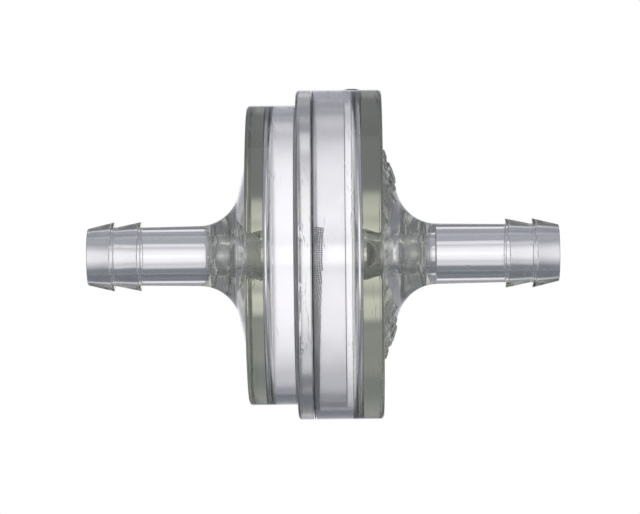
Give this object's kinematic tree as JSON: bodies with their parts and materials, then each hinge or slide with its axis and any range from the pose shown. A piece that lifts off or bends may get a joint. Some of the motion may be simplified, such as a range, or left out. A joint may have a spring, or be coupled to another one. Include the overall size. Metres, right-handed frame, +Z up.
{
  "type": "in-line fuel filter",
  "caption": "Clear plastic in-line fuel filter with a flat round body, a welded flange, a woven screen across the flow and a hose barb at each end.",
  "frame": {"origin": "on the flow axis, at the middle of the overall length", "axes": "+X along the flow axis from the inlet barb to the outlet barb, +Z up"},
  "size_m": [0.0492, 0.0342, 0.0342],
  "materials": {
    "clear_plastic": "clear, moulded, polished",
    "retainer_plastic": "clear, moulded",
    "weld_plastic": "clear, remelted, with small bubbles",
    "screen_cloth": "plain woven stainless wire"
  },
  "bodies": {
    "root": {"inlet_housing": "clear_plastic", "outlet_housing": "clear_plastic", "screen_retainer": "retainer_plastic", "weld_bead": "weld_plastic", "filter_screen": "screen_cloth"}
  },
  "joints": []
}
